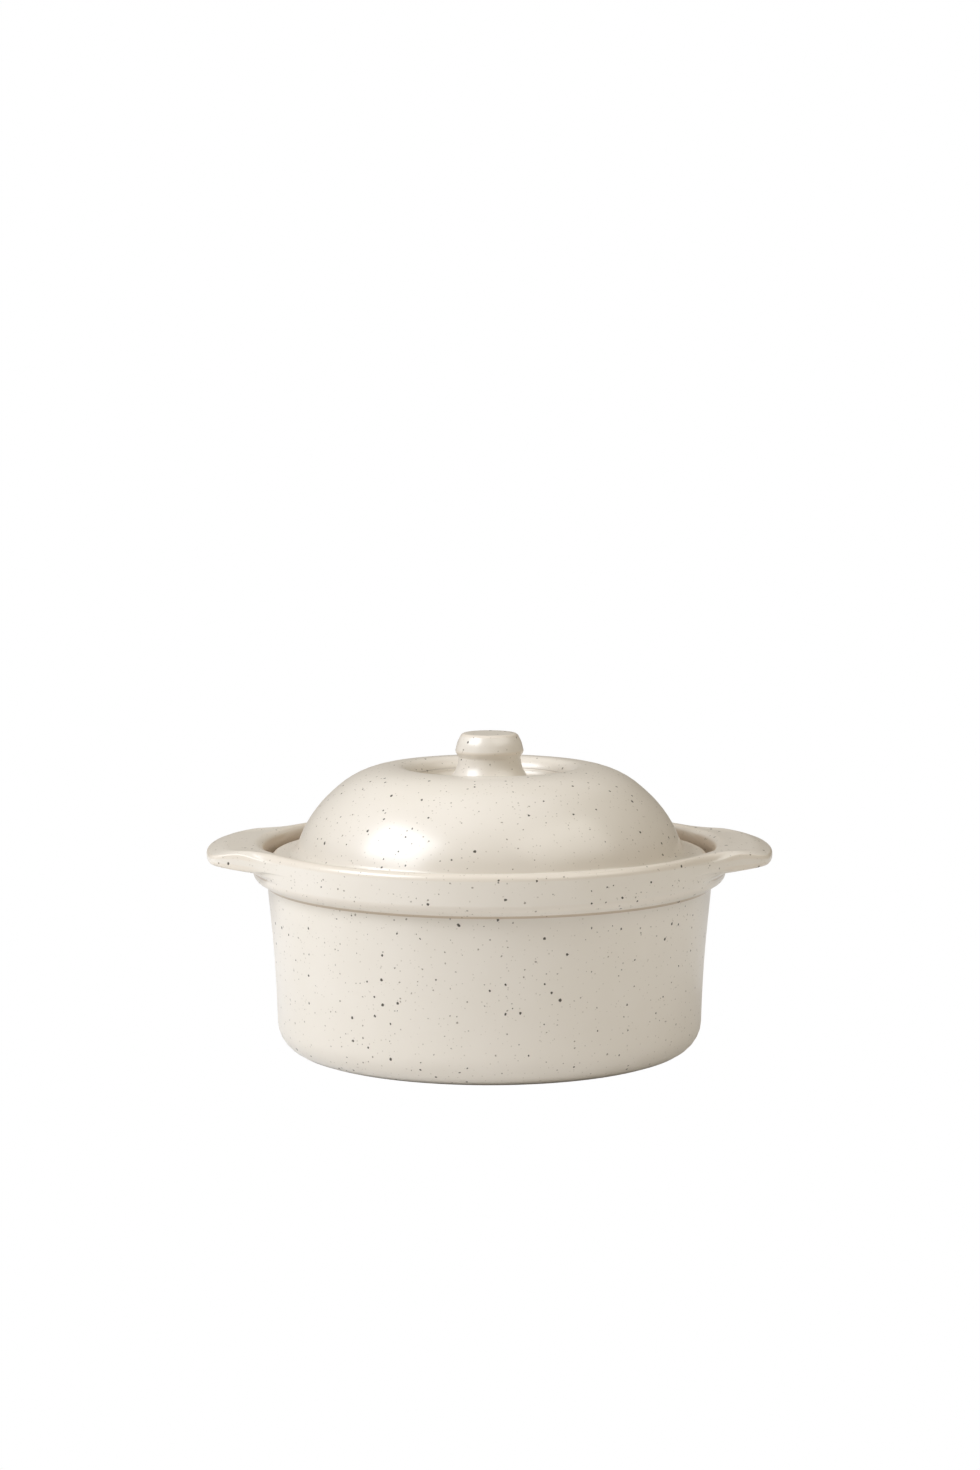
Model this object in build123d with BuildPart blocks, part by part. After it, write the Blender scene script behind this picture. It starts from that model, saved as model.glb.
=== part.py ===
from build123d import *
from math import asin, cos, degrees, radians, sin
import os

# Lidded stoneware butter crock.
# Millimetres, +Z up. The origin is the centre of the foot, on the table.
# X runs through the two lugs. Every round piece is turned about Z.

os.makedirs("parts", exist_ok=True)

# Pot
foot_radius = 64.0          # where the wall would meet the table
foot_rounding = 9.0         # roll from the table into the wall
ring_inner_radius = 47.0    # inner edge of the ring that stands on the table
ring_recess = 1.4           # hollow under the base
ring_bevel = 1.3            # slope from the recess to the ring
wall_mid_radius = 65.05     # the wall flares slightly upwards
wall_mid_height = 26.0
wall_top_radius = 66.95     # where the wall runs into the collar
collar_radius = 71.1
collar_low_height = 50.7    # underside of the collar at the wall
collar_edge_height = 52.9   # underside of the collar at its rim
collar_cove = 1.0
collar_roll = 2.8
rim_height = 63.4
rim_outer_rounding = 2.0
rim_inner_rounding = 1.45

# Gallery that holds the lid, and the cavity below it
gallery_radius = 67.6
gallery_height = 55.5
gallery_corner = 1.2
cavity_top_radius = 61.5
cavity_floor_radius = 58.9
cavity_floor_height = 6.4
cavity_floor_rounding = 8.0

# Lugs
lug_tip_radius = 85.0       # from the pot's axis to the tip
lug_corner = 10.0           # rounding of the two outer corners in plan
lug_side_reach = (82.3, 21.6)   # where a straight side meets the outer edge
lug_side_root = (60.0, 33.4)    # the same side, carried into the collar
lug_seat_radius = 69.4      # each lug is set this deep into the collar
lug_level_reach = 77.0      # level with the rim out to here, then curving down
lug_end_top = 61.2          # height of that curve 1 mm past the tip
lug_underside = 57.3
lug_cove_reach = 76.5       # where the cove under the lug ends and the underside curves up
lug_end_under = 59.1        # height of the underside 1 mm past the tip
lug_seat_height = 54.8      # bottom of the seat, where the cove meets the collar
lug_edge_rounding = 1.4

# Lid
lid_wall = 4.6
flange_radius = 65.8
flange_top = 60.0
flange_top_rounding = 2.0
flange_low_rounding = 1.4
dome_foot_cove = 3.0
crest_radius = 28.4         # ring where the dome is highest
crest_height = 86.0
shoulder_curve = 26.4       # arc from the crest down to the flank
shoulder_angle = 48.5       # how far above level that arc ends
flank_curve = 43.1          # arc from the shoulder down to the flange
well_radius = 23.6
well_floor = 79.9
well_lip_rounding = 4.4
well_floor_rounding = 1.6
hollow_step_radius = 27.6   # inside, below the wall of the well
hollow_step_rounding = 2.4

# Knob
knob_top = 95.8
knob_foot_radius = 14.4
knob_foot_edge = 80.3
knob_flare_mid = (10.7, 84.6)
knob_neck_radius = 9.35
knob_neck_height = 88.9
knob_cap_radius = 10.35
knob_cap_height = 90.3
knob_cap_edge = 1.3
knob_shoulder = (9.65, 93.2)    # the side of the cap bulges through here
knob_shoulder_rounding = 6.0
knob_cap_top_radius = 8.3
knob_top_rounding = 1.6

# The flank arc is tangent to the shoulder arc, so both centres lie on one line.
shoulder_centre = (crest_radius, crest_height - shoulder_curve)
centre_gap = shoulder_curve - flank_curve
flank_centre = (
    shoulder_centre[0] + centre_gap * cos(radians(shoulder_angle)),
    shoulder_centre[1] + centre_gap * sin(radians(shoulder_angle)),
)


def flank_start(curve, height):
    """Angle above level at which an arc about the flank's centre reaches a height."""
    return degrees(asin((height - flank_centre[1]) / curve))


dome_foot_angle = flank_start(flank_curve, flange_top)
dome_foot_radius = flank_centre[0] + flank_curve * cos(radians(dome_foot_angle))
hollow_mouth_angle = flank_start(flank_curve - lid_wall, gallery_height)

with BuildSketch(Plane.XY.offset(lug_seat_height)) as lug_plan:
    with BuildLine():
        side_x, side_y = lug_side_reach
        root_x, root_y = lug_side_root
        end_edge = ThreePointArc((side_x, -side_y), (lug_tip_radius, 0), (side_x, side_y))
        Polyline(end_edge @ 1, (root_x, root_y), (root_x, -root_y), end_edge @ 0)
    make_face()
    fillet(lug_plan.vertices().group_by(Axis.X)[-1], lug_corner)

with BuildSketch(Plane.XY.offset(lug_seat_height)) as seat_plan:
    add(lug_plan.sketch_local)
    Circle(lug_seat_radius, mode=Mode.SUBTRACT)
    mirror(about=Plane.YZ)

with BuildPart() as crock_body:
    with BuildSketch(Plane.XZ) as pot_section:
        with BuildLine():
            base = Polyline(
                (0, ring_recess),
                (ring_inner_radius, ring_recess),
                (ring_inner_radius + ring_bevel, 0),
                (foot_radius, 0),
            )
            wall = ThreePointArc(
                base @ 1,
                (wall_mid_radius, wall_mid_height),
                (wall_top_radius, collar_low_height),
            )
            rim = Polyline(
                wall @ 1,
                (collar_radius, collar_edge_height),
                (collar_radius, rim_height),
                (gallery_radius, rim_height),
                (gallery_radius, gallery_height),
                (cavity_top_radius, gallery_height),
                (cavity_floor_radius, cavity_floor_height),
                (0, cavity_floor_height),
                (0, ring_recess),
            )
        make_face()
        roundings = [
            (foot_radius, 0, foot_rounding),
            (wall_top_radius, collar_low_height, collar_cove),
            (collar_radius, collar_edge_height, collar_roll),
            (collar_radius, rim_height, rim_outer_rounding),
            (gallery_radius, rim_height, rim_inner_rounding),
            (gallery_radius, gallery_height, gallery_corner),
            (cavity_top_radius, gallery_height, gallery_corner),
            (cavity_floor_radius, cavity_floor_height, cavity_floor_rounding),
        ]
        for corner_radius, corner_height, rounding in roundings:
            corner = pot_section.vertices().sort_by_distance((corner_radius, corner_height))[0]
            fillet(corner, rounding)
    revolve(axis=Axis.Z)
    extrude(seat_plan.sketch, amount=rim_height - lug_seat_height, mode=Mode.SUBTRACT)

with BuildPart() as right_lug:
    with BuildSketch(Plane.XZ):
        with BuildLine():
            past_tip = lug_tip_radius + 1
            crown = TangentArc(
                (lug_level_reach, rim_height), (past_tip, lug_end_top), tangent=(1, 0)
            )
            belly = TangentArc(
                (lug_cove_reach, lug_underside), (past_tip, lug_end_under), tangent=(1, 0)
            )
            root = Polyline(
                crown @ 0,
                (lug_seat_radius, rim_height),
                (lug_seat_radius, lug_seat_height),
                (collar_radius, lug_seat_height),
            )
            TangentArc(belly @ 0, root @ 1, tangent=(-1, 0))
            Line(crown @ 1, belly @ 1)
        make_face()
    revolve(axis=Axis.Z)
    extrude(lug_plan.sketch, amount=rim_height - lug_seat_height, mode=Mode.INTERSECT)
    clear_of_collar = right_lug.edges().filter_by(lambda edge: edge.center().X > collar_radius)
    outline_edges = clear_of_collar.filter_by(Axis.Z, reverse=True)
    fillet(outline_edges, lug_edge_rounding)

with BuildPart() as left_lug:
    mirror(right_lug.part, about=Plane.YZ)

with BuildPart() as lid:
    with BuildSketch(Plane.XZ) as lid_section:
        with BuildLine():
            shoulder = CenterArc(shoulder_centre, shoulder_curve, shoulder_angle, 90 - shoulder_angle)
            flank = CenterArc(
                flank_centre, flank_curve, dome_foot_angle, shoulder_angle - dome_foot_angle
            )
            inner_shoulder = CenterArc(
                shoulder_centre, shoulder_curve - lid_wall, shoulder_angle, 90 - shoulder_angle
            )
            inner_flank = CenterArc(
                flank_centre,
                flank_curve - lid_wall,
                hollow_mouth_angle,
                shoulder_angle - hollow_mouth_angle,
            )
            Polyline(
                flank @ 0,
                (flange_radius, flange_top),
                (flange_radius, gallery_height),
                inner_flank @ 0,
            )
            Polyline(
                shoulder @ 1,
                (well_radius, crest_height),
                (well_radius, well_floor),
                (0, well_floor),
                (0, well_floor - lid_wall),
                (hollow_step_radius, well_floor - lid_wall),
                (hollow_step_radius, crest_height - lid_wall),
                inner_shoulder @ 1,
            )
        make_face()
        roundings = [
            (dome_foot_radius, flange_top, dome_foot_cove),
            (flange_radius, flange_top, flange_top_rounding),
            (flange_radius, gallery_height, flange_low_rounding),
            (well_radius, crest_height, well_lip_rounding),
            (well_radius, well_floor, well_floor_rounding),
            (hollow_step_radius, well_floor - lid_wall, hollow_step_rounding),
        ]
        for corner_radius, corner_height, rounding in roundings:
            corner = lid_section.vertices().sort_by_distance((corner_radius, corner_height))[0]
            fillet(corner, rounding)
    revolve(axis=Axis.Z)

with BuildPart() as knob:
    with BuildSketch(Plane.XZ) as knob_section:
        with BuildLine():
            foot = Polyline(
                (0, knob_top),
                (0, well_floor),
                (knob_foot_radius, well_floor),
                (knob_foot_radius, knob_foot_edge),
            )
            neck = ThreePointArc(foot @ 1, knob_flare_mid, (knob_neck_radius, knob_neck_height))
            Polyline(
                neck @ 1,
                (knob_cap_radius, knob_cap_height),
                knob_shoulder,
                (knob_cap_top_radius, knob_top),
                (0, knob_top),
            )
        make_face()
        roundings = [
            (knob_cap_radius, knob_cap_height, knob_cap_edge),
            (*knob_shoulder, knob_shoulder_rounding),
            (knob_cap_top_radius, knob_top, knob_top_rounding),
        ]
        for corner_radius, corner_height, rounding in roundings:
            corner = knob_section.vertices().sort_by_distance((corner_radius, corner_height))[0]
            fillet(corner, rounding)
    revolve(axis=Axis.Z)

crock_body.part.label = "crock_body"
right_lug.part.label = "right_lug"
left_lug.part.label = "left_lug"
lid.part.label = "lid"
knob.part.label = "knob"

export_step(crock_body.part, "parts/crock_body.step")
export_step(right_lug.part, "parts/right_lug.step")
export_step(left_lug.part, "parts/left_lug.step")
export_step(lid.part, "parts/lid.step")
export_step(knob.part, "parts/knob.step")
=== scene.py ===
import bpy
import math
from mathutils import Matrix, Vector


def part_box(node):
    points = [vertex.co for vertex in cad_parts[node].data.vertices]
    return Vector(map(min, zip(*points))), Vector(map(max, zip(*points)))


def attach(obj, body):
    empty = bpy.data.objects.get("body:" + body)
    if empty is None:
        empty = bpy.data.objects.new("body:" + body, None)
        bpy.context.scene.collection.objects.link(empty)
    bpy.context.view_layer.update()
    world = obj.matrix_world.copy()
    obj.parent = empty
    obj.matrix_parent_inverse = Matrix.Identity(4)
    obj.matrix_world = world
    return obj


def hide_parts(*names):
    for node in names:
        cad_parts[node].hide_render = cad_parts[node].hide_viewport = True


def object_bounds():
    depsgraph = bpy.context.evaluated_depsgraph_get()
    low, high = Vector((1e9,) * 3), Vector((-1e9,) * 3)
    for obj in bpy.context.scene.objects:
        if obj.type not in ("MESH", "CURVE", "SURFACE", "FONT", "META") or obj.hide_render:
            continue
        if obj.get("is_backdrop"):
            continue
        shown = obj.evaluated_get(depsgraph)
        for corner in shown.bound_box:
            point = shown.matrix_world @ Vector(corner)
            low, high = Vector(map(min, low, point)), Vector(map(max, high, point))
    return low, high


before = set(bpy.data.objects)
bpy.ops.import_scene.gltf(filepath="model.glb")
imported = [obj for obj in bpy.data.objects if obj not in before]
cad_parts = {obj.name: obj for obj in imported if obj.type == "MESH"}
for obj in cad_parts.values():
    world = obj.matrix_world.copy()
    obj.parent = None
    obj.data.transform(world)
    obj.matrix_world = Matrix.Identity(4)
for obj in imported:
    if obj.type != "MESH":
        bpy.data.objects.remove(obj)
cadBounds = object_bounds()
mm = 0.001


def addNode(tree, kind, inputs=None, **settings):
    node = tree.nodes.new(kind)
    for name, value in settings.items():
        setattr(node, name, value)
    for socket, value in (inputs or {}).items():
        if isinstance(value, bpy.types.NodeSocket):
            tree.links.new(value, node.inputs[socket])
        else:
            node.inputs[socket].default_value = value
    return node


def calc(tree, operation, *values):
    inputs = dict(enumerate(values))
    return addNode(tree, "ShaderNodeMath", inputs, operation=operation).outputs[0]


def ramp(tree, value, fromLow, fromHigh, toLow=0.0, toHigh=1.0):
    inputs = {
        "Value": value,
        "From Min": fromLow, "From Max": fromHigh,
        "To Min": toLow, "To Max": toHigh}
    node = addNode(tree, "ShaderNodeMapRange", inputs, interpolation_type="SMOOTHSTEP")
    return node.outputs["Result"]


def mixColour(tree, factor, colourA, colourB):
    # sockets 6 and 7 are the node's two colours, and its output 2 is the mixed one
    inputs = {0: factor, 6: colourA, 7: colourB}
    return addNode(tree, "ShaderNodeMix", inputs, data_type="RGBA").outputs[2]


def newGroup(name, kind, sockets):
    tree = bpy.data.node_groups.new(name, kind)
    for inOut, socketType, socketName, default in sockets:
        socket = tree.interface.new_socket(
            socketName, in_out=inOut, socket_type="NodeSocket" + socketType)
        if default is not None:
            socket.default_value = default
    given = tree.nodes.new("NodeGroupInput").outputs
    result = tree.nodes.new("NodeGroupOutput").inputs
    return tree, given, result


# A section is a list of corners (radius, height, rounding) in millimetres,
# walked with the clay on its right.
def cornerArcs(corners, steps):
    nearlyStraight = 0.01   # radians
    arcs = []
    for index, (radius, height, rounding) in enumerate(corners):
        here = Vector((radius, height))
        if rounding == 0:
            arcs.append([here])
            continue
        toLast = (Vector(corners[index - 1][:2]) - here).normalized()
        toNext = (Vector(corners[index + 1][:2]) - here).normalized()
        turn = math.pi - toLast.angle(toNext)
        straight = turn < nearlyStraight
        reach = rounding if straight else rounding * math.tan(turn / 2)
        start = here + toLast * reach
        end = here + toNext * reach
        if straight:
            arcs.append([start.lerp(end, step / steps) for step in range(steps + 1)])
            continue
        centre = here + (toLast + toNext).normalized() * rounding / math.cos(turn / 2)
        first = (start - centre).normalized()
        last = (end - centre).normalized()
        sweep = [first.slerp(last, step / steps) for step in range(steps + 1)]
        arcs.append([centre + direction * rounding for direction in sweep])
    return arcs


def traceSections(sections, steps, spacing):
    # Every section gets the same number of points, so that one can be turned into another.
    arcSets = [cornerArcs(corners, steps) for corners in sections]
    traced = [list(arcs[0]) for arcs in arcSets]
    for index in range(1, len(arcSets[0])):
        gaps = [(arcs[index][0] - points[-1]).length for arcs, points in zip(arcSets, traced)]
        count = max(1, math.ceil(max(gaps) / spacing))
        for arcs, points in zip(arcSets, traced):
            last = points[-1]
            points += [last.lerp(arcs[index][0], step / count) for step in range(1, count)]
            points += arcs[index]
    return traced


def bendAlong(points):
    # Turning per millimetre: above zero on outside edges, below zero in hollows.
    bends = [0.0]
    for last, here, following in zip(points, points[1:], points[2:]):
        before = here - last
        after = following - here
        if min(before.length, after.length) < 1e-6:
            bends.append(bends[-1])
            continue
        turn = -math.atan2(before.x * after.y - before.y * after.x, before.dot(after))
        bends.append(2 * turn / (before.length + after.length))
    bends.append(0.0)
    return bends


def sectionLine(name, points, **attributes):
    mesh = bpy.data.meshes.new(name)
    edges = [(index, index + 1) for index in range(len(points) - 1)]
    mesh.from_pydata([(point.x * mm, 0, point.y * mm) for point in points], edges, [])
    for attribute, values in attributes.items():
        isVector = hasattr(values[0], "__len__")
        layer = mesh.attributes.new(attribute, "FLOAT_VECTOR" if isVector else "FLOAT", "POINT")
        flat = [number for value in values for number in value] if isVector else values
        layer.data.foreach_set("vector" if isVector else "value", flat)
    piece = bpy.data.objects.new(name, mesh)
    bpy.context.scene.collection.objects.link(piece)
    return piece


def makeWheelTree(name, lugSockets=()):
    # Turns a section about the crock's axis; with lug sockets, pulls two lugs out of its collar.
    sockets = [
        ("INPUT", "Geometry", "Section", None),
        ("INPUT", "Int", "Turns", 320),
        ("INPUT", "Float", "Unevenness", 0.0001),
        ("INPUT", "Float", "Unevenness Size", 0.03),
        ("INPUT", "Float", "Seed", 1.0),
        ("INPUT", "Material", "Finish", None),
        *[("INPUT", "Float", socketName, 0.0) for socketName in lugSockets],
        ("OUTPUT", "Geometry", "Turned", None),
    ]
    tree, given, result = newGroup(name, "GeometryNodeTree", sockets)
    sectionSize = addNode(tree, "GeometryNodeAttributeDomainSize", {"Geometry": given["Section"]})
    rows = sectionSize.outputs["Point Count"]
    columns = calc(tree, "ADD", given["Turns"], 1.0)
    gridInputs = {"Vertices X": columns, "Vertices Y": rows}
    grid = addNode(tree, "GeometryNodeMeshGrid", gridInputs).outputs["Mesh"]
    index = addNode(tree, "GeometryNodeInputIndex").outputs[0]
    row = calc(tree, "FLOORED_MODULO", index, rows)
    column = calc(tree, "FLOOR", calc(tree, "DIVIDE", calc(tree, "ADD", index, 0.5), rows))
    angle = calc(tree, "MULTIPLY", calc(tree, "DIVIDE", column, given["Turns"]), 2 * math.pi)

    def fromSection(value, dataType):
        inputs = {"Geometry": given["Section"], "Value": value, "Index": row}
        node = addNode(tree, "GeometryNodeSampleIndex", inputs, data_type=dataType, clamp=True)
        return node.outputs[0]

    def named(attribute, dataType):
        inputs = {"Name": attribute}
        node = addNode(tree, "GeometryNodeInputNamedAttribute", inputs, data_type=dataType)
        return fromSection(node.outputs["Attribute"], dataType)

    place = fromSection(addNode(tree, "GeometryNodeInputPosition").outputs[0], "FLOAT_VECTOR")
    place = addNode(tree, "ShaderNodeSeparateXYZ", {0: place}).outputs
    radius, height = place["X"], place["Z"]
    bend = named("bend", "FLOAT")
    cosine = calc(tree, "COSINE", angle)
    sine = calc(tree, "SINE", angle)

    if lugSockets:
        reach = addLugReach(tree, given, cosine, sine)
        shift = named("lugShift", "FLOAT_VECTOR")
        shift = addNode(tree, "ShaderNodeSeparateXYZ", {0: shift}).outputs
        formed = ramp(tree, reach, 0.0, given["Forming"])
        radius = calc(tree, "MULTIPLY_ADD", shift["X"], reach, radius)
        droop = calc(tree, "POWER", reach, 2.0)
        height = calc(tree, "MULTIPLY_ADD", shift["Y"], droop, height)
        height = calc(tree, "MULTIPLY_ADD", shift["Z"], formed, height)
        bendChange = calc(tree, "SUBTRACT", named("lugBend", "FLOAT"), bend)
        bend = calc(tree, "MULTIPLY_ADD", bendChange, formed, bend)

    x = calc(tree, "MULTIPLY", radius, cosine)
    y = calc(tree, "MULTIPLY", radius, sine)
    position = addNode(tree, "ShaderNodeCombineXYZ", {"X": x, "Y": y, "Z": height}).outputs[0]
    inputs = {"Geometry": grid, "Position": position}
    shape = addNode(tree, "GeometryNodeSetPosition", inputs).outputs[0]
    for attribute, value in (("bend", bend), ("bare", named("bare", "FLOAT"))):
        inputs = {"Geometry": shape, "Name": attribute, "Value": value}
        node = addNode(tree, "GeometryNodeStoreNamedAttribute", inputs, data_type="FLOAT")
        shape = node.outputs[0]
    inputs = {"Geometry": shape, "Distance": 1e-6}   # closes the seam and the two poles
    shape = addNode(tree, "GeometryNodeMergeByDistance", inputs).outputs[0]
    shape = addNode(tree, "GeometryNodeFlipFaces", {"Mesh": shape}).outputs[0]

    # Hand unevenness only ever takes clay away, so the piece stays inside its true size.
    seedShift = addNode(tree, "ShaderNodeCombineXYZ", {"X": given["Seed"]}).outputs[0]
    here = addNode(tree, "GeometryNodeInputPosition").outputs[0]
    inputs = {0: here, 1: seedShift}
    noisePlace = addNode(tree, "ShaderNodeVectorMath", inputs, operation="ADD").outputs[0]
    noiseScale = calc(tree, "DIVIDE", 1.0, given["Unevenness Size"])
    inputs = {"Vector": noisePlace, "Scale": noiseScale, "Detail": 1.0}
    noise = addNode(tree, "ShaderNodeTexNoise", inputs).outputs[0]
    # the foot stays flat, and the unevenness comes in over its first few millimetres
    footRise = 0.006
    aboveTable = addNode(tree, "ShaderNodeSeparateXYZ", {0: here}).outputs["Z"]
    noise = calc(tree, "MULTIPLY", noise, ramp(tree, aboveTable, 0.0, footRise))
    depth = calc(tree, "MULTIPLY", noise, given["Unevenness"])
    normal = addNode(tree, "GeometryNodeInputNormal").outputs[0]
    inputs = {0: normal, "Scale": calc(tree, "MULTIPLY", depth, -1.0)}
    push = addNode(tree, "ShaderNodeVectorMath", inputs, operation="SCALE").outputs[0]
    inputs = {"Geometry": shape, "Offset": push}
    shape = addNode(tree, "GeometryNodeSetPosition", inputs).outputs[0]
    shape = addNode(tree, "GeometryNodeSetShadeSmooth", {"Geometry": shape}).outputs[0]
    shape = addNode(tree, "GeometryNodeRealizeInstances", {"Geometry": shape}).outputs[0]
    inputs = {"Geometry": shape, "Material": given["Finish"]}
    shape = addNode(tree, "GeometryNodeSetMaterial", inputs).outputs[0]
    tree.links.new(shape, result[0])
    return tree


def addLugReach(tree, given, cosine, sine):
    # 0 on the plain collar, 1 at a lug's tip, from the lugs' outline seen from above.
    along = calc(tree, "ABSOLUTE", cosine)
    across = calc(tree, "ABSOLUTE", sine)
    fromAxis = calc(tree, "ARCTAN2", across, along)
    offset = calc(tree, "MULTIPLY", given["End Centre"], across)
    endSquare = calc(tree, "POWER", given["End Radius"], 2.0)
    inside = calc(tree, "SUBTRACT", endSquare, calc(tree, "POWER", offset, 2.0))
    inside = calc(tree, "MAXIMUM", inside, 0.0)
    endEdge = calc(tree, "MULTIPLY_ADD", given["End Centre"], along, calc(tree, "SQRT", inside))
    pastSide = calc(tree, "MAXIMUM", calc(tree, "SUBTRACT", given["Side Angle"], fromAxis), 0.0)
    sideEdge = calc(tree, "DIVIDE", given["Side Distance"], calc(tree, "COSINE", pastSide))
    outline = calc(tree, "SMOOTH_MIN", endEdge, sideEdge, given["Corner Blend"])
    outline = calc(tree, "SMOOTH_MAX", outline, given["Collar Radius"], given["Root Blend"])
    past = calc(tree, "SUBTRACT", outline, given["Collar Radius"])
    wholeReach = calc(tree, "SUBTRACT", given["Tip Radius"], given["Collar Radius"])
    return calc(tree, "DIVIDE", past, wholeReach)


def throwPiece(piece, tree, values):
    # A modifier's input is set by its socket's identifier, before the piece is first evaluated.
    modifier = piece.modifiers.new("wheel", "NODES")
    modifier.node_group = tree
    for socket in tree.interface.items_tree:
        if socket.name in values:
            modifier[socket.identifier] = values[socket.name]
    graph = bpy.context.evaluated_depsgraph_get()
    mesh = bpy.data.meshes.new_from_object(piece.evaluated_get(graph), depsgraph=graph)
    piece.modifiers.clear()
    piece.data = mesh
    return piece


def makeSpeckGroup():
    # Iron specks: one round-ish spot in a share of the cells of a 3-D cell pattern.
    tree, given, result = newGroup("ironSpecks", "ShaderNodeTree", [
        ("INPUT", "Vector", "Vector", None),
        ("INPUT", "Float", "Spacing", 0.004),
        ("INPUT", "Float", "Share", 0.4),
        ("INPUT", "Float", "Smallest", 0.0002),
        ("INPUT", "Float", "Largest", 0.0005),
        ("INPUT", "Float", "Softness", 0.5),
        ("INPUT", "Float", "Raggedness", 0.0005),
        ("OUTPUT", "Float", "Mask", None),
    ])
    raggedScale = 1600.0
    inputs = {"Vector": given["Vector"], "Scale": raggedScale, "Detail": 1.0}
    ragged = addNode(tree, "ShaderNodeTexNoise", inputs).outputs["Color"]
    inputs = {0: ragged, 1: (0.5, 0.5, 0.5)}
    centred = addNode(tree, "ShaderNodeVectorMath", inputs, operation="SUBTRACT").outputs[0]
    inputs = {0: centred, "Scale": given["Raggedness"]}
    scaled = addNode(tree, "ShaderNodeVectorMath", inputs, operation="SCALE").outputs[0]
    inputs = {0: given["Vector"], 1: scaled}
    place = addNode(tree, "ShaderNodeVectorMath", inputs, operation="ADD").outputs[0]
    inputs = {"Vector": place, "Scale": calc(tree, "DIVIDE", 1.0, given["Spacing"])}
    cells = addNode(tree, "ShaderNodeTexVoronoi", inputs)
    dice = addNode(tree, "ShaderNodeSeparateColor", {0: cells.outputs["Color"]}).outputs
    chosen = calc(tree, "LESS_THAN", dice[0], given["Share"])
    size = addNode(tree, "ShaderNodeMapRange", {
        "Value": calc(tree, "POWER", dice[1], 2.0),
        "To Min": given["Smallest"], "To Max": given["Largest"]}).outputs["Result"]
    distance = calc(tree, "MULTIPLY", cells.outputs["Distance"], given["Spacing"])
    core = calc(tree, "MULTIPLY", size, calc(tree, "SUBTRACT", 1.0, given["Softness"]))
    spot = ramp(tree, distance, core, size, 1.0, 0.0)
    tree.links.new(calc(tree, "MULTIPLY", spot, chosen), result["Mask"])
    return tree


def makeMottleGroup():
    # Slow drifts of tone where the glaze lies thicker or thinner.
    tree, given, result = newGroup("glazeMottle", "ShaderNodeTree", [
        ("INPUT", "Vector", "Vector", None),
        ("INPUT", "Float", "Size", 0.02),
        ("INPUT", "Color", "Thin", None),
        ("INPUT", "Color", "Thick", None),
        ("OUTPUT", "Color", "Color", None),
    ])
    noiseScale = calc(tree, "DIVIDE", 1.0, given["Size"])
    inputs = {"Vector": given["Vector"], "Scale": noiseScale, "Detail": 3.0}
    noise = addNode(tree, "ShaderNodeTexNoise", inputs).outputs[0]
    amount = ramp(tree, noise, 0.3, 0.7)
    tree.links.new(mixColour(tree, amount, given["Thin"], given["Thick"]), result["Color"])
    return tree


def makeBendGroup():
    # Masks from the section's own curvature: edges where glaze runs thin, and hollows where glaze
    # gathers and where the pot's glaze lays on painted shade.
    tree, given, result = newGroup("glazeFlowAndShade", "ShaderNodeTree", [
        ("INPUT", "Float", "Full Edge", 0.6),
        ("INPUT", "Float", "Full Hollow", 0.5),
        ("OUTPUT", "Float", "Edge", None),
        ("OUTPUT", "Float", "Hollow", None),
    ])
    bend = addNode(tree, "ShaderNodeAttribute", attribute_name="bend").outputs["Fac"]
    tree.links.new(ramp(tree, bend, 0.12, given["Full Edge"]), result["Edge"])
    hollow = calc(tree, "MULTIPLY", bend, -1.0)
    tree.links.new(ramp(tree, hollow, 0.05, given["Full Hollow"]), result["Hollow"])
    return tree


def makeClayGroup():
    # Bare fired clay: buff, gritty and dry.
    tree, given, result = newGroup("bareClay", "ShaderNodeTree", [
        ("INPUT", "Vector", "Vector", None),
        ("INPUT", "Color", "Body", None),
        ("INPUT", "Color", "Grit", None),
        ("INPUT", "Float", "Grain Scale", 1800.0),
        ("INPUT", "Float", "Patch Scale", 220.0),
        ("OUTPUT", "Color", "Color", None),
        ("OUTPUT", "Float", "Height", None),
    ])
    inputs = {"Vector": given["Vector"], "Scale": given["Grain Scale"], "Detail": 4.0}
    grain = addNode(tree, "ShaderNodeTexNoise", inputs).outputs[0]
    inputs = {"Vector": given["Vector"], "Scale": given["Patch Scale"], "Detail": 2.0}
    patch = addNode(tree, "ShaderNodeTexNoise", inputs).outputs[0]
    mix = calc(tree, "MULTIPLY", ramp(tree, grain, 0.35, 0.75), ramp(tree, patch, 0.2, 0.8))
    tree.links.new(mixColour(tree, mix, given["Body"], given["Grit"]), result["Color"])
    tree.links.new(grain, result["Height"])
    return tree


groups = {
    "specks": makeSpeckGroup(),
    "mottle": makeMottleGroup(),
    "flowAndShade": makeBendGroup(),
    "clay": makeClayGroup(),
}


def placeGroup(tree, group, inputs):
    return addNode(tree, "ShaderNodeGroup", inputs, node_tree=groups[group]).outputs


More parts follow.
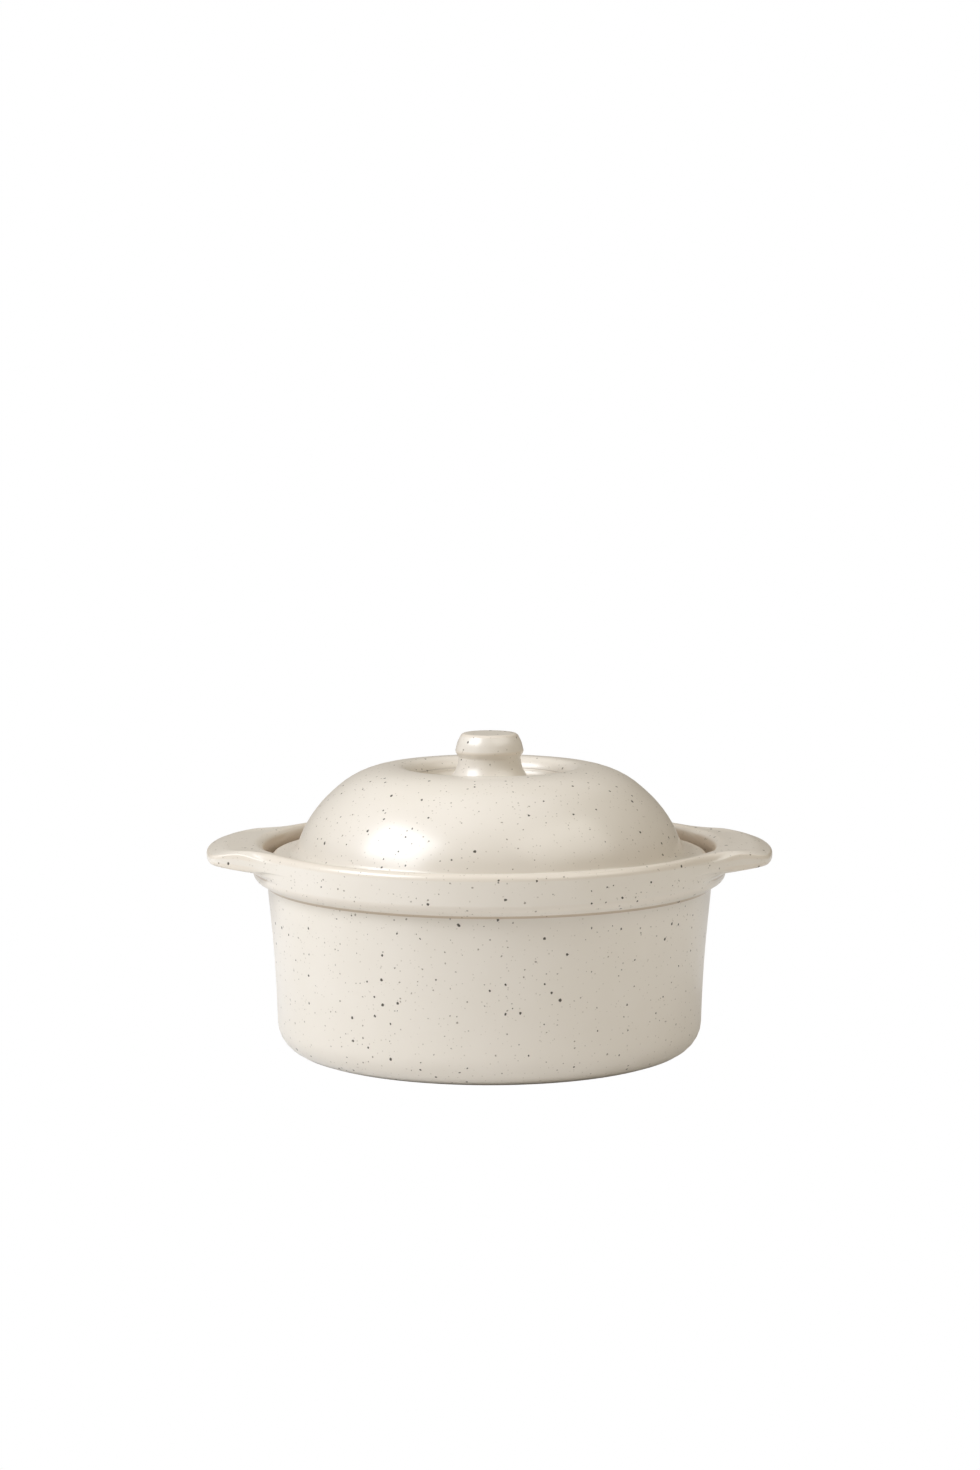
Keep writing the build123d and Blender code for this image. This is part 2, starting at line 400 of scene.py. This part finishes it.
def makeGlaze(name, glaze):
    material = bpy.data.materials.new(name)
    material.use_nodes = True
    tree = material.node_tree
    shader = tree.nodes["Principled BSDF"]
    place = addNode(tree, "ShaderNodeTexCoord").outputs["Object"]

    def noiseOf(scale, detail):
        inputs = {"Vector": place, "Scale": scale, "Detail": detail}
        return addNode(tree, "ShaderNodeTexNoise", inputs).outputs[0]

    colour = placeGroup(tree, "mottle", {
        "Vector": place, "Size": glaze["mottleSize"],
        "Thin": glaze["thin"], "Thick": glaze["thick"]})["Color"]
    flowAndShade = placeGroup(tree, "flowAndShade", {})
    edge = calc(tree, "MULTIPLY", flowAndShade["Edge"], glaze["edgeAmount"])
    colour = mixColour(tree, edge, colour, glaze["edge"])
    # hollow colour: glaze gathered in hollows, and on the pot also painted brown shade in its
    # recesses and under the collar
    hollow = calc(tree, "MULTIPLY", flowAndShade["Hollow"], glaze["hollowAmount"])
    colour = mixColour(tree, hollow, colour, glaze["hollow"])

    speckHeight = 0.0
    for layer in glaze["specks"]:
        mask = placeGroup(tree, "specks", {
            "Vector": place, "Spacing": layer["spacing"], "Share": layer["share"],
            "Smallest": layer["smallest"], "Largest": layer["largest"],
            "Softness": layer["softness"]})["Mask"]
        mask = calc(tree, "MULTIPLY", mask, layer["strength"])
        colour = mixColour(tree, mask, colour, layer["colour"])
        speckHeight = calc(tree, "MAXIMUM", speckHeight, mask)

    bareness = addNode(tree, "ShaderNodeAttribute", attribute_name="bare").outputs["Fac"]
    fray = calc(tree, "SUBTRACT", noiseOf(glaze["frayScale"], 2.0), 0.5)
    bareness = calc(tree, "MULTIPLY_ADD", fray, glaze["fray"], bareness)
    bareness = ramp(tree, bareness, 0.4, 0.6)
    clay = placeGroup(tree, "clay", {
        "Vector": place, "Body": glaze["clay"], "Grit": glaze["grit"]})
    colour = mixColour(tree, bareness, colour, clay["Color"])
    tree.links.new(colour, shader.inputs["Base Color"])

    smoothest = glaze["roughness"] - glaze["roughnessDrift"]
    roughest = glaze["roughness"] + glaze["roughnessDrift"]
    roughness = ramp(tree, noiseOf(glaze["sheenScale"], 3.0), 0.25, 0.75, smoothest, roughest)
    roughness = calc(tree, "MULTIPLY_ADD", speckHeight, glaze["speckRoughness"], roughness)
    dryness = calc(tree, "MULTIPLY", bareness, glaze["bareRoughness"])
    tree.links.new(calc(tree, "ADD", roughness, dryness), shader.inputs["Roughness"])
    glazed = calc(tree, "SUBTRACT", 1.0, bareness)
    tree.links.new(calc(tree, "MULTIPLY", glazed, glaze["coat"]), shader.inputs["Coat Weight"])
    shader.inputs["Coat Roughness"].default_value = glaze["coatRoughness"]
    shader.inputs["IOR"].default_value = glaze["ior"]

    height = noiseOf(glaze["peelScale"], 2.0)
    height = calc(tree, "MULTIPLY_ADD", speckHeight, -glaze["speckDip"], height)
    bareHeight = calc(tree, "MULTIPLY", clay["Height"], bareness)
    height = calc(tree, "MULTIPLY_ADD", bareHeight, glaze["bareGrit"], height)
    bump = addNode(tree, "ShaderNodeBump", {
        "Height": height, "Strength": glaze["bump"], "Distance": glaze["bumpDepth"]})
    tree.links.new(bump.outputs[0], shader.inputs["Normal"])
    return material


creamGlaze = {
    "thin": (0.72, 0.667, 0.585, 1),
    "thick": (0.735, 0.682, 0.604, 1),
    "edge": (0.70, 0.60, 0.48, 1),
    "edgeAmount": 0.35,
    # hollow tint: glaze pooled in hollows; the pot's glaze swaps in a brown that is painted shade
    "hollow": (0.66, 0.60, 0.50, 1),
    "hollowAmount": 0.3,
    "mottleSize": 0.02,
    "clay": (0.52, 0.43, 0.33, 1),   # where the piece is left unglazed
    "grit": (0.36, 0.27, 0.19, 1),
    "fray": 0.5,            # how far the glaze's edge wanders
    "frayScale": 900.0,
    "roughness": 0.32,
    "roughnessDrift": 0.01,
    "sheenScale": 90.0,
    "speckRoughness": 0.2,
    "bareRoughness": 0.55,
    "ior": 1.5,
    "coat": 0.36,
    "coatRoughness": 0.2,
    "bump": 0.08,
    "bumpDepth": 0.0001,
    "peelScale": 260.0,
    "speckDip": 0.15,
    "bareGrit": 3.0,
    "specks": [   # from the faintest and most common to the darkest
        {"spacing": 0.0012, "share": 0.46, "smallest": 0.00022, "largest": 0.00035, "softness": 0.6,
         "strength": 0.42, "colour": (0.30, 0.25, 0.18, 1)},
        {"spacing": 0.0016, "share": 0.24, "smallest": 0.00027, "largest": 0.00043, "softness": 0.5,
         "strength": 0.78, "colour": (0.19, 0.155, 0.11, 1)},
        {"spacing": 0.0022, "share": 0.14, "smallest": 0.00036, "largest": 0.00058, "softness": 0.3,
         "strength": 1.0, "colour": (0.07, 0.058, 0.042, 1)},
    ],
}
# on the pot the hollows are painted a strong brown: painted shade in the gallery recess round the
# lid and in the crease under the collar, together with glaze pooled there
brownPoolAndShade = {"hollow": (0.40, 0.275, 0.155, 1), "hollowAmount": 0.64}
potGlaze = makeGlaze("potGlaze", {**creamGlaze, **brownPoolAndShade})
lidGlaze = makeGlaze("lidGlaze", creamGlaze)
print("finishes made")


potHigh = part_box("crock_body")[1]
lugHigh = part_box("right_lug")[1]
lidLow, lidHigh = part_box("lid")
knobLow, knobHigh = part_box("knob")
collar = potHigh[0] / mm
rim = potHigh[2] / mm
tip = lugHigh[0] / mm
ledge = lidLow[2] / mm

pot = {
    "turns": 336,
    "arcSteps": 7,
    "spacing": 1.7,
    "unevenness": 0.00005,
    "unevennessSize": 0.03,
    "seed": 3.0,
    "cavityFloor": 6.4,
    "baseHollow": 1.4,
    "gallery": collar - 3.5,
    "lugRoot": rim - 8.1,
    "tipTop": rim - 2.0,
    "tipUnder": rim - 4.6,
    "tipRounding": 1.2,
    "lugUnder": rim - 5.9,
}
endRadius = 0.0878
# the lugs' outline seen from above: a long arc at the end and two straight sides
lugPlan = {
    "Collar Radius": collar * mm,
    "Tip Radius": tip * mm,
    "End Radius": endRadius,
    "End Centre": tip * mm - endRadius,
    "Side Angle": math.radians(62.1),
    "Side Distance": 0.0576,
    "Corner Blend": 0.0045,
    "Root Blend": 0.010,
    "Forming": 0.6,
}

cavitySection = [
    (0, pot["cavityFloor"], 0),
    (58.9, pot["cavityFloor"], 8.0),
    (61.5, ledge, 1.2),
    (pot["gallery"], ledge, 1.2),
]
# the first is the rim as it is all round, the second the rim where it is drawn out to a lug
plainRim = [
    (pot["gallery"], rim, 1.45),
    (collar, rim, 2.0),
    (collar, rim - 3.0, 0.6),
    (collar, rim - 4.6, 0.6),
    (collar, rim - 6.1, 0.6),
    (collar, rim - 7.4, 0.5),
    (collar, pot["lugRoot"], 0),
]
lugRim = [
    (pot["gallery"], rim, 3.2),
    (tip - 5.0, rim - 0.2, 9.0),
    (tip, pot["tipTop"], pot["tipRounding"]),
    (tip, pot["tipUnder"], pot["tipRounding"]),
    (tip - 6.0, pot["lugUnder"] - 0.1, 8.0),
    (collar + 4.1, pot["lugUnder"], 9.0),
    (collar, pot["lugRoot"], 0),
]
wallSection = [
    (collar, 52.9, 2.8),
    (66.95, 50.7, 1.0),
    (64.57, 24.85, 400.0),
    (64.05, 0, 9.0),
    (48.3, 0, 0.5),
    (47.0, pot["baseHollow"], 0.6),
    (0, pot["baseHollow"], 0),
]
plainPot, luggedPot = traceSections(
    [cavitySection + plainRim + wallSection, cavitySection + lugRim + wallSection],
    pot["arcSteps"], pot["spacing"])



def share(value, low, high):
    return min(max((value - low) / (high - low), 0.0), 1.0)


topDroop = pot["tipTop"] - rim
underRise = pot["tipUnder"] - pot["lugUnder"]
lugShift = []
for plain, lugged in zip(plainPot, luggedPot):
    # towards the tip the top comes down and the underside comes up
    outwards = share(lugged.x, collar, tip) ** 2
    towardsTop = share(lugged.y, pot["tipUnder"], pot["tipTop"])
    droop = outwards * (towardsTop * topDroop + (1 - towardsTop) * underRise)
    lugShift.append(((lugged.x - plain.x) * mm, droop * mm, (lugged.y - plain.y - droop) * mm))


def galleryShadeBend(points):
    # The wall of the gallery counts as a hollow, so that it takes painted brown shade along with
    # pooled glaze, and this fades out below the rim.
    fadeTop = rim - 0.6
    fadeDepth = 1.4
    bends = bendAlong(points)
    for index, point in enumerate(points):
        if abs(point.x - pot["gallery"]) < 1.5 and ledge < point.y < fadeTop:
            bends[index] = -0.42 * min((fadeTop - point.y) / fadeDepth, 1.0)
    return bends


barePot = []
for point in plainPot:
    onFootRing = point.y < 0.3
    onLedge = abs(point.y - ledge) < 0.25 and point.x < pot["gallery"]
    barePot.append(float(onFootRing or onLedge))
potSkin = sectionLine(
    "pot_skin", plainPot, bend=galleryShadeBend(plainPot), lugBend=galleryShadeBend(luggedPot),
    bare=barePot, lugShift=lugShift)
potWheel = makeWheelTree("potWheel", list(lugPlan))
throwPiece(potSkin, potWheel, {
    "Turns": pot["turns"], "Unevenness": pot["unevenness"],
    "Unevenness Size": pot["unevennessSize"], "Seed": pot["seed"],
    "Finish": potGlaze, **lugPlan})
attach(potSkin, "crock")
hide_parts("crock_body", "right_lug", "left_lug")
print("pot thrown:", len(potSkin.data.polygons), "faces")


crest = lidHigh[2] / mm
flange = lidHigh[0] / mm
wellFloor = knobLow[2] / mm
knobTop = knobHigh[2] / mm
lid = {
    "turns": 288,
    "arcSteps": 8,
    "spacing": 1.7,
    "unevenness": 0.00005,
    "unevennessSize": 0.03,
    "seed": 11.0,
    "wall": 4.6,
    "flangeTop": ledge + 4.5,
    "seatInside": 56.0,   # the flange is bare underneath from this radius outwards
}
lidSection = [
    (0, knobTop, 0),
    (8.3, knobTop, 1.6),
    (9.65, knobTop - 2.6, 7.0),
    (10.35, knobTop - 5.5, 1.5),
    (9.35, knobTop - 7.1, 0.8),
    (9.6, wellFloor, 8.6),
    (23.4, wellFloor, 3.0),
    (23.6, crest, 4.4),
    (38.4, crest, 26.4),
    (54.8, crest - 14.55, 36.0),
    (58.6, lid["flangeTop"], 3.2),
    (flange, lid["flangeTop"], 2.0),
    (flange, ledge, 1.4),
    (54.9, ledge, 1.0),
    (50.86, crest - 17.18, 32.0),
    (36.66, crest - lid["wall"], 20.0),
    (28.0, crest - lid["wall"], 2.0),
    (27.4, wellFloor - lid["wall"], 2.4),
    (0, wellFloor - lid["wall"], 0),
]
lidLine = traceSections([lidSection], lid["arcSteps"], lid["spacing"])[0]
bareLid = []
for point in lidLine:
    onSeat = abs(point.y - ledge) < 0.25 and point.x > lid["seatInside"]
    bareLid.append(float(onSeat))
lidSkin = sectionLine("lid_skin", lidLine, bend=bendAlong(lidLine), bare=bareLid)
lidWheel = makeWheelTree("lidWheel")
throwPiece(lidSkin, lidWheel, {
    "Turns": lid["turns"], "Unevenness": lid["unevenness"],
    "Unevenness Size": lid["unevennessSize"], "Seed": lid["seed"],
    "Finish": lidGlaze})
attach(lidSkin, "lid")
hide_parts("lid", "knob")
print("lid thrown:", len(lidSkin.data.polygons), "faces")


studio = {
    "floorHalf": 3.0,
    "paper": (0.86, 0.86, 0.86, 1),
    "blankWhite": (1, 1, 1, 1),
    "skyLight": 0.207,
    "skyColour": (1.13, 0.98, 0.76, 1),
    "softboxTarget": (0, 0, 0.06),
}


def makeFloor():
    # the camera sees it as blank white; to the crock it is a white table
    half = studio["floorHalf"]
    corners = [(-half, -half, 0), (half, -half, 0), (half, half, 0), (-half, half, 0)]
    mesh = bpy.data.meshes.new("floor")
    mesh.from_pydata(corners, [], [(0, 1, 2, 3)])
    floor = bpy.data.objects.new("floor", mesh)
    bpy.context.scene.collection.objects.link(floor)
    paper = bpy.data.materials.new("paper")
    paper.use_nodes = True
    tree = paper.node_tree
    shader = tree.nodes["Principled BSDF"]
    cameraRay = addNode(tree, "ShaderNodeLightPath").outputs["Is Camera Ray"]
    colour = mixColour(tree, cameraRay, studio["paper"], (0, 0, 0, 1))
    tree.links.new(colour, shader.inputs["Base Color"])
    shader.inputs["Roughness"].default_value = 1.0
    shader.inputs["Specular IOR Level"].default_value = 0.0
    shader.inputs["Emission Color"].default_value = studio["blankWhite"]
    tree.links.new(cameraRay, shader.inputs["Emission Strength"])
    mesh.materials.append(paper)
    floor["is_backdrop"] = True


def makeSky():
    # the camera sees it as blank white too; it lights the crock with a dim warm glow
    world = bpy.data.worlds.new("studio")
    world.use_nodes = True
    tree = world.node_tree
    cameraRay = addNode(tree, "ShaderNodeLightPath").outputs["Is Camera Ray"]
    inputs = {"Value": cameraRay, "To Min": studio["skyLight"], "To Max": 1.0}
    strength = addNode(tree, "ShaderNodeMapRange", inputs).outputs[0]
    colour = mixColour(tree, cameraRay, studio["skyColour"], studio["blankWhite"])
    background = tree.nodes["Background"]
    tree.links.new(colour, background.inputs["Color"])
    tree.links.new(strength, background.inputs["Strength"])
    bpy.context.scene.world = world


def makeSoftbox(name, azimuth, elevation, distance, width, height, power, colour):
    # azimuth 0 is in front of the crock, towards the camera; positive to its right
    data = bpy.data.lights.new(name, "AREA")
    data.shape = "RECTANGLE"
    data.size = width
    data.size_y = height
    data.energy = power
    data.color = colour
    box = bpy.data.objects.new(name, data)
    turn = math.radians(azimuth)
    rise = math.radians(elevation)
    level = math.cos(rise)
    direction = Vector((math.sin(turn) * level, -math.cos(turn) * level, math.sin(rise)))
    box.location = Vector(studio["softboxTarget"]) + direction * distance
    box.rotation_euler = direction.to_track_quat("Z", "Y").to_euler()
    bpy.context.scene.collection.objects.link(box)


# name, azimuth, elevation, distance, width, height, power, colour
softboxes = [
    ("keyBox", -66, 40, 1.2, 0.8, 0.6, 13.0, (0.95, 0.99, 1.06)),
    ("fillBox", 60, 47, 1.3, 1.2, 0.7, 5.5, (1.0, 0.99, 0.94)),
    ("sideBox", -95, 12, 1.4, 1.0, 1.2, 0.8, (0.9, 1.0, 1.1)),
    ("topBox", 0, 89, 1.2, 1.0, 1.0, 2.2, (0.97, 1.0, 1.07)),
    ("backBox", 180, 50, 1.3, 1.4, 0.8, 0.7, (1.0, 1.0, 1.0)),
]
cameraSetup = {
    "distance": 0.9897,
    "height": 0.2023,
    "aimHeight": 0.0393,
    "lens": 81.2,
    "shiftX": 0.00036,
    "shiftY": 0.125,
}

makeFloor()
makeSky()
for box in softboxes:
    makeSoftbox(*box)

camera = bpy.data.objects.new("camera", bpy.data.cameras.new("camera"))
camera.data.lens = cameraSetup["lens"]
camera.data.shift_x = cameraSetup["shiftX"]
camera.data.shift_y = cameraSetup["shiftY"]
camera.location = (0, -cameraSetup["distance"], cameraSetup["height"])
sight = camera.location - Vector((0, 0, cameraSetup["aimHeight"]))
camera.rotation_euler = sight.to_track_quat("Z", "Y").to_euler()
bpy.context.scene.collection.objects.link(camera)
bpy.context.scene.camera = camera
bpy.context.scene.view_settings.view_transform = "Standard"
print("stage set")

boxes = {"cad": cadBounds, "visual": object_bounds()}
plain = {name: [list(map(float, corner)) for corner in corners] for name, corners in boxes.items()}
